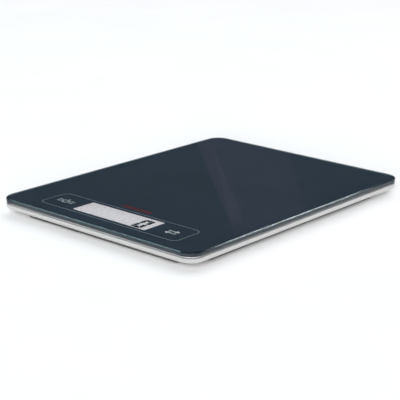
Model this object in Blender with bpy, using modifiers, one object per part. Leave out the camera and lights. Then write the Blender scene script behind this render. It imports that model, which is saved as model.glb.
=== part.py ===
"""Flat kitchen scale: a glass weighing plate bonded to a silver housing that stands on four sensing feet.

Sizes are in millimetres and become metres where meshes are made. +X runs along the display edge, +Y from
the display to the back, +Z up. The origin is on the surface that the feet stand on, under the middle.
"""

from math import cos, pi, radians, sin

import bmesh
import bpy
from mathutils import Vector

MM = 0.001

# Outside of the scale
PLATE_X = 230.0
PLATE_Y = 300.0
TOTAL_Z = 17.0
CORNER_R = 13.0
CORNER_STEPS = 6
GAP = 0.3             # between pieces that meet
THIN_GAP = 0.2        # between the layers bonded under the glass

# Levels, from the floor up
BASE_LOW = 1.0
BASE_FLOOR = 1.6
TRAY_LOW = 7.0
TRAY_FLOOR = 0.9
TRAY_HIGH = 11.9
GLASS_T = 4.0
GLASS_LOW = TOTAL_Z - GLASS_T
FILM_T = 0.2
FILM_LOW = GLASS_LOW - THIN_GAP - FILM_T
TAPE_LOW = TRAY_HIGH + THIN_GAP
TAPE_HIGH = FILM_LOW - THIN_GAP
BASE_HIGH = TRAY_LOW - GAP
BASE_TOP = BASE_LOW + BASE_FLOOR
TRAY_TOP = TRAY_LOW + TRAY_FLOOR

# Glass plate and the layers under it
GLASS_CHAMFER = 0.8
FILM_INSET = 1.0
TAPE_INSET = 2.6
TAPE_W = 1.6

# Housing tray
TRAY_INSET = 0.3
CAVITY_INSET = 4.4
TRAY_LOWER_ROUND = 2.0
TRAY_UPPER_ROUND = 0.5
RIB_X = 60.0
RIB_Y = (-75.0, 130.0)
RIB_T = 1.5
CROSS_RIB_X = 55.0
CROSS_RIB_Y = 92.0
OVERLAP = 0.5         # how far a joined shape reaches into the next
SPARE = 1.0           # how far a cutting shape reaches past what it cuts

# Base cover: inset from the plate's edge, with its corners cut away
BASE_INSET = 10.0
BASE_CUT_X = 17.0
BASE_CUT_Y = 24.0
BASE_WALL = 1.6
BASE_EDGE_ROUND = 1.2
BASE_CUT_ROUND = 4.0

# Feet and their load cells, one in each corner
FOOT_X = 80.0
FOOT_Y = 108.0
FOOT_R = 10.8
FOOT_HOLE_R = 11.6
PAD_R = 9.3
PAD_T = 1.5
CUP_LOW = 0.7
CUP_HIGH = 2.6
PUSHER_R = 3.0
PUSHER_HIGH = 3.45
CUP_EDGE = 0.4
CUP_LIP_EDGE = 0.2
PAD_EDGE = 0.5
CELL_X = 31.0
CELL_Y = 24.0
CELL_LOW = 3.9
CELL_T = 1.2
CELL_CORNER = 1.5
CELL_SLOT_OUT = 12.3  # outer edge of the slots that free the cell's tongue
CELL_SLOT_IN = 9.0
CELL_SLOT_END = 8.5
CELL_SLOT_T = 3.0
GAUGE_OFFSET = 5.5
GAUGE_X = 8.0
GAUGE_Y = 5.0
GAUGE_T = 0.2
GAUGE_GLUE = 0.15
CLAMP_IN = 12.6       # the clamp strips' span across a cell's side strips
CLAMP_OUT = 15.2
CLAMP_BACK = 2.0      # and along them, from the foot's middle
CLAMP_FRONT = 10.0
ROUND_STEPS = 20

# Battery bay, cells side by side with their axes along X
CELL_COUNT = 3
BATTERY_R = 5.1
BATTERY_LENGTH = 44.5
BATTERY_PITCH = 11.0
BATTERY_Z = 7.3
BATTERY_EDGE = 0.4
BATTERY_TIP_R = 1.9
BATTERY_TIP_T = 0.8
BATTERY_TIP_EDGE = 0.3
BAY_Y = 40.0
BAY_X = 52.0
BAY_W = 33.4
BAY_WALL = 1.4
BAY_HIGH = 12.2
NOTCH_LOW = 9.5
NOTCH_W = 4.0
BASE_OPENING_SPARE = 1.0
CONTACT_T = 0.4
CONTACT_BACK = 0.2    # between a contact plate and the bay's wall
CONTACT_W = 9.4
CONTACT_LOW = 3.0
CONTACT_HIGH = 12.0
CONTACT_FACE_X = BAY_X / 2 - CONTACT_BACK - CONTACT_T
TIP_X = CONTACT_FACE_X - GAP      # where a cell's raised end reaches
SPRING_WIRE_R = 0.3
SPRING_TURNS = 3
SPRING_POINTS = 8
SPRING_WIDE_R = 3.8
SPRING_NARROW_R = 2.4

# Battery cover, which slides towards +Y until its tongues leave their lips
COVER_X = 56.0
COVER_Y = 40.0
COVER_T = 1.0
COVER_SIDE_GAP = 0.4
COVER_TRAVEL = 6.0
FINGER_RECESS = 8.0
POCKET_DEPTH = 1.3
POCKET_PAD_HIGH = 3.6
POCKET_PAD_W = 3.0
POCKET_CORNER = 1.5
COVER_CORNER = 1.2
TONGUE_ROOT = 2.0      # how far a tongue runs into the cover's plate
TONGUE_REACH = 1.6
TONGUE_LENGTH = 6.0
TONGUE_LOW = 1.6
TONGUE_HIGH = 1.95
GROOVE_LOW = 1.5
TONGUE_STARTS = (-13.0, 5.0)

# Display and keys
LCD_Y = -117.0
LCD_SIZE = (92.0, 33.0)
LCD_LOW = 10.4
LCD_HIGH = 12.4
WINDOW_SIZE = (86.5, 25.5)
WINDOW_Y = LCD_Y + 1.0
WINDOW_CORNER = 0.8
HOLDER_SIZE = (97.2, 38.0)
HOLDER_INNER = (92.8, 33.8)
HOLDER_HIGH = LCD_HIGH - 0.1
HOLDER_CORNER = 1.5
ZEBRA_W = 2.4
ZEBRA_INSET = 1.8
KEY_X = 64.0
TOUCH_PAD_SIZE = (16.0, 12.0)
TOUCH_PAD_CORNER = 3.0
BOARD_LOW = 8.3
BOARD_HIGH = 9.3
BOARD_X = 160.0
BOARD_CORNER = 2.0
BOARD_FRONT = -137.5
BOARD_BACK = -90.0
CHIP_AT = (-68.0, -97.0)
CHIP_SIZE = 9.0
CHIP_T = 1.2
BOARD_SCREWS = ((-76.0, -133.0), (76.0, -133.0), (-56.0, -94.0), (56.0, -94.0))
BOSS_R = 3.0
BOSS_LOW = TRAY_LOW - 2.0
BOARD_SCREW_TIP = TRAY_LOW - 0.9
BOARD_HEAD_R = 2.2
BOARD_HEAD_T = 1.0
BOARD_SHAFT_R = 1.1
BOARD_SCREW_TAPER = 0.6
BOARD_HEAD_EDGE = (0.6, 0.4)
BOARD_HOLE_R = 1.4

# Screws that hold the base cover to the housing
BASE_SCREWS = ((-96.0, -70.0), (96.0, -70.0), (-96.0, 70.0), (96.0, 70.0), (0.0, -132.0), (0.0, 132.0))
WELL_R = 3.4
WELL_TOP = 2.9
WELL_WALL = 1.4
WELL_PAD_T = 1.2
SCREW_LOW = 1.4
SCREW_HEAD_R = 2.8
SCREW_HEAD_T = 1.3
SCREW_TIP = 6.8
SCREW_SHAFT_R = 1.3
SCREW_TAPER = 0.7
SCREW_HEAD_EDGE = (0.6, 0.5)
PILOT_R = 1.6
SCREW_STEPS = 12

# Wires
WIRE_R = 0.45
WIRE_POINTS_PER_SPAN = 3
WIRE_BEVEL = 2
CELL_WIRE_Z = 5.75    # under the housing's floor
FLOOR_WIRE_Z = 8.5    # on the housing's floor
WIRE_END_Z = 8.8
FRONT_LANE_X = 23.0    # where the front and the rear cells' wires pass the slot
REAR_LANE_X = 15.0
SLOT_X = 34.0
SLOT_Y = (-88.0, -80.0)
WIRE_END_Y = BOARD_BACK + GAP

CORNERS = {
    "front_left": (-1, -1),
    "front_right": (1, -1),
    "rear_left": (-1, 1),
    "rear_right": (1, 1),
}

# name: colour, metallic, roughness, alpha
FINISHES = {
    "glass": ((0.10, 0.20, 0.22), 0.0, 0.05, 0.35),
    "dark_print": ((0.028, 0.042, 0.058), 0.0, 0.25, 1.0),
    "silver_plastic": ((0.62, 0.61, 0.60), 0.35, 0.38, 1.0),
    "grey_plastic": ((0.16, 0.16, 0.16), 0.0, 0.5, 1.0),
    "white_plastic": ((0.75, 0.75, 0.73), 0.0, 0.5, 1.0),
    "display": ((0.60, 0.62, 0.62), 0.0, 0.2, 1.0),
    "rubber": ((0.05, 0.05, 0.05), 0.0, 0.85, 1.0),
    "tape": ((0.85, 0.85, 0.82), 0.0, 0.7, 1.0),
    "steel": ((0.55, 0.56, 0.58), 1.0, 0.35, 1.0),
    "nickel": ((0.68, 0.66, 0.62), 1.0, 0.25, 1.0),
    "circuit_board": ((0.03, 0.22, 0.10), 0.0, 0.45, 1.0),
    "chip": ((0.02, 0.02, 0.02), 0.0, 0.4, 1.0),
    "gauge_film": ((0.60, 0.38, 0.10), 0.0, 0.4, 1.0),
    "battery_skin": ((0.16, 0.30, 0.34), 0.3, 0.35, 1.0),
    "red_wire": ((0.55, 0.03, 0.02), 0.0, 0.5, 1.0),
    "black_wire": ((0.02, 0.02, 0.02), 0.0, 0.5, 1.0),
    "white_wire": ((0.80, 0.80, 0.78), 0.0, 0.5, 1.0),
}


# ---------------------------------------------------------------- meshes

def as_mesh(shape):
    """Turn a bmesh in millimetres into a mesh in metres."""
    bmesh.ops.recalc_face_normals(shape, faces=shape.faces)
    bmesh.ops.scale(shape, vec=(MM, MM, MM), verts=shape.verts)
    mesh = bpy.data.meshes.new("shape")
    shape.to_mesh(mesh)
    shape.free()
    return mesh


def round_edges(shape, edges, width, steps):
    bmesh.ops.bevel(
        shape, geom=edges, offset=width, offset_type="OFFSET", segments=steps,
        profile=0.5, affect="EDGES", clamp_overlap=False,
    )


def upright_edges(shape):
    return [edge for edge in shape.edges
            if abs((edge.verts[0].co - edge.verts[1].co).normalized().z) > 0.99]


def rim_edges(shape, level):
    return [edge for edge in shape.edges
            if all(abs(vert.co.z - level) < 1e-4 for vert in edge.verts)]


def block(low, high, corner=0.0, lower=0.0, upper=0.0, steps=CORNER_STEPS, edge_steps=1):
    """Box between two corners. corner rounds its upright edges, lower and upper its two rims."""
    size = Vector(high) - Vector(low)
    shape = bmesh.new()
    bmesh.ops.create_cube(shape, size=1.0)
    bmesh.ops.scale(shape, vec=size, verts=shape.verts)
    if corner:
        round_edges(shape, upright_edges(shape), corner, steps)
    for level, width in ((-size.z / 2, lower), (size.z / 2, upper)):
        if width:
            round_edges(shape, rim_edges(shape, level), width, edge_steps)
    bmesh.ops.translate(shape, vec=(Vector(low) + Vector(high)) / 2, verts=shape.verts)
    return as_mesh(shape)


def slab(size_x, size_y, low, high, at=(0.0, 0.0), **rounding):
    """Block centred on a point in plan."""
    return block((at[0] - size_x / 2, at[1] - size_y / 2, low),
                 (at[0] + size_x / 2, at[1] + size_y / 2, high), **rounding)


def disc(radius, low, high, at=(0.0, 0.0), steps=ROUND_STEPS):
    """Upright cylinder."""
    shape = bmesh.new()
    bmesh.ops.create_cone(shape, cap_ends=True, segments=steps, radius1=radius, radius2=radius,
                          depth=high - low)
    bmesh.ops.translate(shape, vec=(at[0], at[1], (low + high) / 2), verts=shape.verts)
    return as_mesh(shape)


def cut_corner_slab(inset, low, high, lower=0.0, edge_steps=1):
    """Slab of the base cover's outline, drawn in by inset: a rectangle with its four corners cut off."""
    size = Vector((PLATE_X - 2 * (BASE_INSET + inset), PLATE_Y - 2 * (BASE_INSET + inset), high - low))
    legs = Vector((BASE_CUT_X - inset / 2, BASE_CUT_Y - inset / 2, 1.0))
    shape = bmesh.new()
    bmesh.ops.create_cube(shape, size=1.0)
    bmesh.ops.scale(shape, vec=(size.x / legs.x, size.y / legs.y, size.z), verts=shape.verts)
    round_edges(shape, upright_edges(shape), 1.0, 1)
    bmesh.ops.scale(shape, vec=legs, verts=shape.verts)
    round_edges(shape, upright_edges(shape), BASE_CUT_ROUND, 2)
    if lower:
        round_edges(shape, rim_edges(shape, -size.z / 2), lower, edge_steps)
    bmesh.ops.translate(shape, vec=(0, 0, (low + high) / 2), verts=shape.verts)
    return as_mesh(shape)


# ---------------------------------------------------------------- objects

def collection(name):
    group = bpy.data.collections.new(name)
    bpy.context.scene.collection.children.link(group)
    return group


def finish(name):
    """Principled material of one of the finishes, made once."""
    material = bpy.data.materials.get(name)
    if material:
        return material
    colour, metallic, roughness, alpha = FINISHES[name]
    material = bpy.data.materials.new(name)
    material.use_nodes = True
    shader = material.node_tree.nodes["Principled BSDF"]
    shader.inputs["Base Color"].default_value = (*colour, 1.0)
    shader.inputs["Metallic"].default_value = metallic
    shader.inputs["Roughness"].default_value = roughness
    shader.inputs["Alpha"].default_value = alpha
    material.diffuse_color = (*colour, alpha)
    return material


def joined(name, meshes):
    """One mesh from several, which are removed."""
    shape = bmesh.new()
    for mesh in meshes:
        shape.from_mesh(mesh)
        bpy.data.meshes.remove(mesh)
    whole = bpy.data.meshes.new(name)
    shape.to_mesh(whole)
    shape.free()
    return whole


def piece(name, meshes, finish_name, at=(0.0, 0.0, 0.0), parent=None, smooth=False):
    """Named part of the scale, with its origin at a point in millimetres."""
    mesh = joined(name, meshes)
    origin = Vector(at) * MM
    for vert in mesh.vertices:
        vert.co -= origin
    mesh.materials.append(finish(finish_name))
    if smooth:
        mesh.shade_smooth()
        mesh.set_sharp_from_angle(angle=radians(35))
    part = bpy.data.objects.new(name, mesh)
    place(part, at, parent)
    return part


def place(part, at, parent):
    """Put an object in the scale's collection, at a point in the scale's own frame."""
    SCALE.objects.link(part)
    anchor = parent or HOUSING_AXIS
    part.parent = anchor
    part.location = Vector(at) * MM - anchor.location


def tool(name, meshes, target, operation):
    """Hidden shape that is cut from a part or joined to it."""
    shape = bpy.data.objects.new(name, joined(name, meshes))
    shape.hide_render = True
    shape.display_type = "WIRE"
    CUTTERS.objects.link(shape)
    modifier = target.modifiers.new(name, "BOOLEAN")
    modifier.operation = operation
    modifier.solver = "EXACT"
    modifier.object = shape


def turned(name, profile, finish_name, at, parent=None, turn=(0.0, 0.0, 0.0), steps=ROUND_STEPS):
    """Part turned about its own Z axis from a profile of (radius, height), top first."""
    mesh = bpy.data.meshes.new(name)
    mesh.from_pydata([(radius * MM, 0, height * MM) for radius, height in profile],
                     [(index, index + 1) for index in range(len(profile) - 1)], [])
    mesh.materials.append(finish(finish_name))
    part = bpy.data.objects.new(name, mesh)
    place(part, at, parent)
    part.rotation_euler = turn
    screw = part.modifiers.new("turn", "SCREW")
    screw.axis = "Z"
    screw.steps = steps
    screw.render_steps = steps
    screw.use_merge_vertices = True
    screw.merge_threshold = 0.00001
    screw.use_smooth_shade = True
    return part


def wire(name, points, radius, finish_name):
    """Round wire along points in millimetres."""
    curve = bpy.data.curves.new(name, "CURVE")
    curve.dimensions = "3D"
    curve.bevel_depth = radius * MM
    curve.bevel_resolution = WIRE_BEVEL
    curve.use_fill_caps = True
    spline = curve.splines.new("POLY")
    spline.points.add(len(points) - 1)
    for target, point in zip(spline.points, points):
        target.co = (*(Vector(point) * MM), 1.0)
    curve.materials.append(finish(finish_name))
    part = bpy.data.objects.new(name, curve)
    place(part, (0.0, 0.0, 0.0), None)
    return part


def smooth_route(route):
    """Points of a smooth curve through a few route points."""
    ends = [route[0] * 2 - route[1]] + route + [route[-1] * 2 - route[-2]]
    points = []
    for before, start, end, after in zip(ends, ends[1:], ends[2:], ends[3:]):
        for step in range(WIRE_POINTS_PER_SPAN):
            t = step / WIRE_POINTS_PER_SPAN
            points.append(0.5 * (
                2 * start + (end - before) * t
                + (2 * before - 5 * start + 4 * end - after) * t ** 2
                + (3 * start - before - 3 * end + after) * t ** 3))
    return points + [route[-1]]


# ---------------------------------------------------------------- glass and its bonded layers

def glass_plate():
    piece("glass_plate", [slab(PLATE_X, PLATE_Y, GLASS_LOW, TOTAL_Z, corner=CORNER_R,
                               lower=GLASS_CHAMFER, upper=GLASS_CHAMFER)],
          "glass", at=(0.0, 0.0, GLASS_LOW))


def printed_film():
    film = piece("printed_film", [slab(PLATE_X - 2 * FILM_INSET, PLATE_Y - 2 * FILM_INSET, FILM_LOW,
                                       FILM_LOW + FILM_T, corner=CORNER_R - FILM_INSET)],
                 "dark_print", at=(0.0, 0.0, FILM_LOW))
    window = slab(*WINDOW_SIZE, FILM_LOW - SPARE, FILM_LOW + SPARE, at=(0.0, WINDOW_Y), corner=WINDOW_CORNER,
                  steps=2)
    tool("display_window", [window], film, "DIFFERENCE")


def bonding_tape():
    outline = slab(PLATE_X - 2 * TAPE_INSET, PLATE_Y - 2 * TAPE_INSET, TAPE_LOW, TAPE_HIGH,
                   corner=CORNER_R - TAPE_INSET)
    tape = piece("bonding_tape", [outline], "tape", at=(0.0, 0.0, TAPE_LOW))
    inner = TAPE_INSET + TAPE_W
    hole = slab(PLATE_X - 2 * inner, PLATE_Y - 2 * inner, TAPE_LOW - SPARE, TAPE_HIGH + SPARE,
                corner=CORNER_R - inner)
    tool("tape_opening", [hole], tape, "DIFFERENCE")


# ---------------------------------------------------------------- housing and base

def corner_centres():
    return [(side * FOOT_X, end * FOOT_Y) for side, end in CORNERS.values()]


def clamp_strips(low, high):
    """Short walls over or under the two side strips of each load cell."""
    strips = []
    for centre_x, centre_y in corner_centres():
        inward = -1 if centre_y > 0 else 1
        near, far = sorted((centre_y - inward * CLAMP_BACK, centre_y + inward * CLAMP_FRONT))
        for side in (-1, 1):
            left, right = sorted((centre_x + side * CLAMP_IN, centre_x + side * CLAMP_OUT))
            strips.append(block((left, near, low), (right, far, high)))
    return strips


def upper_housing():
    """Silver tray: rounded outer side with a flat rim, ribs, bosses and the battery bay's walls."""
    outer = slab(PLATE_X - 2 * TRAY_INSET, PLATE_Y - 2 * TRAY_INSET, TRAY_LOW, TRAY_HIGH,
                 corner=CORNER_R - TRAY_INSET, lower=TRAY_LOWER_ROUND, upper=TRAY_UPPER_ROUND, edge_steps=3)
    tray = piece("upper_housing", [outer], "silver_plastic", smooth=True)
    cavity = slab(PLATE_X - 2 * CAVITY_INSET, PLATE_Y - 2 * CAVITY_INSET, TRAY_TOP, TOTAL_Z,
                  corner=CORNER_R - CAVITY_INSET)
    tool("tray_cavity", [cavity], tray, "DIFFERENCE")
    tool("tray_posts", housing_posts(), tray, "UNION")
    tool("bay_walls", [slab(BAY_X + 2 * BAY_WALL, BAY_W + 2 * BAY_WALL, POCKET_PAD_HIGH + GAP, BAY_HIGH,
                            at=(0.0, BAY_Y))], tray, "UNION")
    tool("tray_openings", housing_openings(), tray, "DIFFERENCE")
    tool("wire_notches", wire_notches(), tray, "DIFFERENCE")


def housing_posts():
    """Ribs under the glass, bosses for both kinds of screw, and the load cells' upper clamps."""
    posts = [block((side * RIB_X - RIB_T / 2, RIB_Y[0], TRAY_TOP - OVERLAP),
                   (side * RIB_X + RIB_T / 2, RIB_Y[1], TRAY_HIGH)) for side in (-1, 1)]
    posts.append(block((-CROSS_RIB_X, CROSS_RIB_Y, TRAY_TOP - OVERLAP),
                       (CROSS_RIB_X, CROSS_RIB_Y + RIB_T, TRAY_HIGH)))
    posts += [disc(BOSS_R, BOSS_LOW, BOARD_LOW - GAP, at=centre) for centre in BOARD_SCREWS]
    posts += [disc(WELL_R, WELL_TOP + WELL_PAD_T + 2 * THIN_GAP, TRAY_LOW + OVERLAP, at=centre)
              for centre in BASE_SCREWS]
    posts += clamp_strips(CELL_LOW + CELL_T + GAP, TRAY_LOW + OVERLAP)
    return posts


def housing_openings():
    """Battery bay, the wires' slot and the screws' pilot holes."""
    openings = [
        slab(BAY_X, BAY_W, 0.0, TOTAL_Z, at=(0.0, BAY_Y)),
        block((-SLOT_X, SLOT_Y[0], 0.0), (SLOT_X, SLOT_Y[1], BOARD_HIGH)),
    ]
    openings += [disc(BOARD_HOLE_R, BOARD_SCREW_TIP - GAP, BOARD_HIGH, at=centre, steps=SCREW_STEPS)
                 for centre in BOARD_SCREWS]
    openings += [disc(PILOT_R, 0.0, SCREW_TIP + GAP, at=centre, steps=SCREW_STEPS)
                 for centre in BASE_SCREWS]
    return openings


def wire_notches():
    """Notches in the bay's side walls, where the two battery wires leave."""
    notches = []
    for side in (-1, 1):
        notch_y = BAY_Y + side * BATTERY_PITCH
        near, far = sorted((side * (BAY_X / 2 - SPARE), side * (BAY_X / 2 + BAY_WALL + SPARE)))
        notches.append(block((near, notch_y - NOTCH_W / 2, NOTCH_LOW), (far, notch_y + NOTCH_W / 2, TOTAL_Z)))
    return notches


def base_cover():
    """Inset lower shell, with openings for the feet, wells for its screws and the battery cover's pocket."""
    base = piece("base_cover", [cut_corner_slab(0.0, BASE_LOW, BASE_HIGH, lower=BASE_EDGE_ROUND,
                                                edge_steps=2)],
                 "grey_plastic", smooth=True)
    tool("base_cavity", [cut_corner_slab(BASE_WALL, BASE_TOP, TOTAL_Z)], base, "DIFFERENCE")
    pads = [block((-COVER_X / 2 - POCKET_PAD_W, BAY_Y - COVER_Y / 2 - POCKET_PAD_W, BASE_TOP - OVERLAP),
                  (COVER_X / 2 + POCKET_PAD_W, BAY_Y + COVER_Y / 2 + FINGER_RECESS + POCKET_PAD_W,
                   POCKET_PAD_HIGH))]
    pads += [disc(WELL_R + WELL_WALL, BASE_TOP - OVERLAP, WELL_TOP + WELL_PAD_T, at=centre)
             for centre in BASE_SCREWS]
    pads += clamp_strips(BASE_TOP - OVERLAP, CELL_LOW - GAP)
    tool("base_pads", pads, base, "UNION")
    tool("base_openings", base_openings(), base, "DIFFERENCE")
    tool("base_recesses", base_recesses(), base, "DIFFERENCE")
    tool("cover_grooves", cover_grooves(), base, "DIFFERENCE")
    tool("cover_notches", cover_notches(), base, "DIFFERENCE")


def base_openings():
    """Holes for the feet, the screws and the batteries."""
    openings = [disc(FOOT_HOLE_R, 0.0, CELL_LOW, at=centre) for centre in corner_centres()]
    openings += [disc(PILOT_R, 0.0, TRAY_LOW, at=centre, steps=SCREW_STEPS) for centre in BASE_SCREWS]
    openings.append(slab(BAY_X + BASE_OPENING_SPARE, BAY_W + BASE_OPENING_SPARE, 0.0, TRAY_LOW,
                         at=(0.0, BAY_Y)))
    return openings


def base_recesses():
    """Recesses in the underside: screw wells and the sliding cover's pocket with its finger recess."""
    half_x = COVER_X / 2 + COVER_SIDE_GAP
    front = BAY_Y - COVER_Y / 2 - COVER_SIDE_GAP
    back = BAY_Y + COVER_Y / 2 + COVER_SIDE_GAP + FINGER_RECESS
    recesses = [disc(WELL_R, 0.0, WELL_TOP, at=centre) for centre in BASE_SCREWS]
    recesses.append(block((-half_x, front, 0.0), (half_x, back, BASE_LOW + POCKET_DEPTH),
                          corner=POCKET_CORNER, steps=3))
    return recesses


def groove_spans():
    """For each tongue: the groove's left, right, near and far limits, and where its notch starts."""
    spans = []
    for side in (-1, 1):
        left, right = sorted((side * (COVER_X / 2 - OVERLAP),
                              side * (COVER_X / 2 + TONGUE_REACH + COVER_SIDE_GAP)))
        for start in TONGUE_STARTS:
            near = BAY_Y + start - COVER_SIDE_GAP
            drop = near + COVER_TRAVEL
            spans.append((left, right, near, drop + TONGUE_LENGTH + 2 * COVER_SIDE_GAP, drop))
    return spans


def cover_grooves():
    """Grooves that hold the cover's tongues."""
    return [block((left, near, GROOVE_LOW), (right, far, BASE_LOW + POCKET_DEPTH))
            for left, right, near, far, drop in groove_spans()]


def cover_notches():
    """Notches that the tongues drop out of when the cover has slid back."""
    return [block((left, drop, 0.0), (right, far, GROOVE_LOW + THIN_GAP))
            for left, right, near, far, drop in groove_spans()]


def battery_cover():
    """Sliding cover with four side tongues. Its origin is at the middle of its lower face."""
    plate = slab(COVER_X, COVER_Y, BASE_LOW, BASE_LOW + COVER_T, at=(0.0, BAY_Y), corner=COVER_CORNER,
                 steps=3)
    cover = piece("battery_cover", [plate], "grey_plastic", at=(0.0, BAY_Y, BASE_LOW),
                  parent=COVER_AXIS)
    tongues = []
    for side in (-1, 1):
        left, right = sorted((side * (COVER_X / 2 - TONGUE_ROOT), side * (COVER_X / 2 + TONGUE_REACH)))
        tongues += [block((left, BAY_Y + start, TONGUE_LOW),
                          (right, BAY_Y + start + TONGUE_LENGTH, TONGUE_HIGH))
                    for start in TONGUE_STARTS]
    tool("cover_tongues", tongues, cover, "UNION")


# ---------------------------------------------------------------- batteries and contacts

def battery_rows():
    """For each cell: its number, its Y place and the side, -1 or 1, that its raised end faces."""
    first = BAY_Y - BATTERY_PITCH * (CELL_COUNT - 1) / 2
    return [(index + 1, first + index * BATTERY_PITCH, -1 if index % 2 == 0 else 1)
            for index in range(CELL_COUNT)]


def battery(number, centre_y, side):
    half = BATTERY_LENGTH / 2
    shoulder = half - BATTERY_TIP_T
    profile = [(0.0, half), (BATTERY_TIP_R - BATTERY_TIP_EDGE, half),
               (BATTERY_TIP_R, half - BATTERY_TIP_EDGE), (BATTERY_TIP_R, shoulder),
               (BATTERY_R - BATTERY_EDGE, shoulder), (BATTERY_R, shoulder - BATTERY_EDGE),
               (BATTERY_R, BATTERY_EDGE - half), (BATTERY_R - BATTERY_EDGE, -half), (0.0, -half)]
    turned(f"battery_{number}", profile, "battery_skin", (side * (TIP_X - half), centre_y, BATTERY_Z),
           turn=(0.0, side * pi / 2, 0.0))


def battery_spring(number, centre_y, side):
    """Coil between a cell's flat end and the contact plate there, wider at the plate."""
    from_x = CONTACT_FACE_X - THIN_GAP - SPRING_WIRE_R
    to_x = BATTERY_LENGTH - TIP_X + GAP + SPRING_WIRE_R
    points = []
    for step in range(SPRING_TURNS * SPRING_POINTS + 1):
        angle = 2 * pi * step / SPRING_POINTS
        part_way = step / (SPRING_TURNS * SPRING_POINTS)
        radius = SPRING_WIDE_R + (SPRING_NARROW_R - SPRING_WIDE_R) * part_way
        points.append((-side * (from_x + (to_x - from_x) * part_way),
                       centre_y + radius * cos(angle), BATTERY_Z + radius * sin(angle)))
    wire(f"battery_spring_{number}", points, SPRING_WIRE_R, "nickel")


def contact(name, side, rows):
    """Contact plate at one end of the bay, over one cell or two."""
    near, far = sorted((side * CONTACT_FACE_X, side * (CONTACT_FACE_X + CONTACT_T)))
    first = BAY_Y + rows[0] * BATTERY_PITCH - CONTACT_W / 2
    last = BAY_Y + rows[-1] * BATTERY_PITCH + CONTACT_W / 2
    piece(name, [block((near, first, CONTACT_LOW), (far, last, CONTACT_HIGH))], "nickel",
          at=(side * CONTACT_FACE_X, BAY_Y, CONTACT_LOW))


def batteries_and_contacts():
    for row in battery_rows():
        battery(*row)
        battery_spring(*row)
    contact("contact_plate_plus", -1, (-1,))
    contact("contact_bridge_left", -1, (0, 1))
    contact("contact_bridge_right", 1, (-1, 0))
    contact("contact_plate_minus", 1, (1,))


# ---------------------------------------------------------------- display, keys and board

def display():
    at = (0.0, LCD_Y)
    piece("lcd_panel", [slab(*LCD_SIZE, LCD_LOW, LCD_HIGH, at=at)], "display", at=(0.0, LCD_Y, LCD_LOW))
    holder = piece("lcd_holder", [slab(*HOLDER_SIZE, BOARD_HIGH + GAP, HOLDER_HIGH, at=at,
                                       corner=HOLDER_CORNER, steps=3)],
                   "white_plastic", at=(0.0, LCD_Y, BOARD_HIGH))
    tool("lcd_seat", [slab(*HOLDER_INNER, BOARD_LOW, TOTAL_Z, at=at)], holder, "DIFFERENCE")
    strip_y = LCD_Y - LCD_SIZE[1] / 2 + ZEBRA_INSET
    piece("zebra_strip", [slab(WINDOW_SIZE[0], ZEBRA_W, BOARD_HIGH + GAP, LCD_LOW - GAP,
                               at=(0.0, strip_y))],
          "rubber", at=(0.0, strip_y, BOARD_HIGH))


def board():
    middle_y = (BOARD_FRONT + BOARD_BACK) / 2
    plate = piece("main_board", [slab(BOARD_X, BOARD_BACK - BOARD_FRONT, BOARD_LOW, BOARD_HIGH,
                                      at=(0.0, middle_y), corner=BOARD_CORNER, steps=3)],
                  "circuit_board", at=(0.0, middle_y, BOARD_LOW))
    holes = [disc(BOARD_HOLE_R, BOARD_LOW - SPARE, BOARD_HIGH + SPARE, at=centre, steps=SCREW_STEPS)
             for centre in BOARD_SCREWS]
    tool("board_holes", holes, plate, "DIFFERENCE")
    piece("controller_chip", [slab(CHIP_SIZE, CHIP_SIZE, BOARD_HIGH + GAP, BOARD_HIGH + GAP + CHIP_T,
                                   at=CHIP_AT)], "chip", at=(*CHIP_AT, BOARD_HIGH))


def touch_pad(name, side):
    at = (side * KEY_X, LCD_Y)
    piece(name, [slab(*TOUCH_PAD_SIZE, BOARD_HIGH + GAP, FILM_LOW - GAP, at=at,
                corner=TOUCH_PAD_CORNER, steps=4)],
          "rubber", at=(*at, BOARD_HIGH))


# ---------------------------------------------------------------- feet and load cells

def foot(corner, axis):
    """Foot of one corner: a plastic cup that pushes on the load cell's tongue, and its rubber pad."""
    at = (*axis_point(axis), 0.0)
    cup = [(0.0, PUSHER_HIGH), (PUSHER_R - CUP_EDGE, PUSHER_HIGH),
           (PUSHER_R, PUSHER_HIGH - CUP_EDGE), (PUSHER_R, CUP_HIGH), (FOOT_R - CUP_EDGE, CUP_HIGH),
           (FOOT_R, CUP_HIGH - CUP_EDGE), (FOOT_R, CUP_LOW + CUP_LIP_EDGE),
           (FOOT_R - CUP_LIP_EDGE, CUP_LOW), (PAD_R + GAP, CUP_LOW),
           (PAD_R + GAP, PAD_T + GAP), (0.0, PAD_T + GAP)]
    turned(f"foot_cup_{corner}", cup, "grey_plastic", at, parent=axis)
    pad = [(0.0, PAD_T), (PAD_R, PAD_T), (PAD_R, PAD_EDGE), (PAD_R - PAD_EDGE, 0.0), (0.0, 0.0)]
    turned(f"foot_pad_{corner}", pad, "rubber", at, parent=axis)


def axis_point(axis):
    return axis.location.x / MM, axis.location.y / MM


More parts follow.
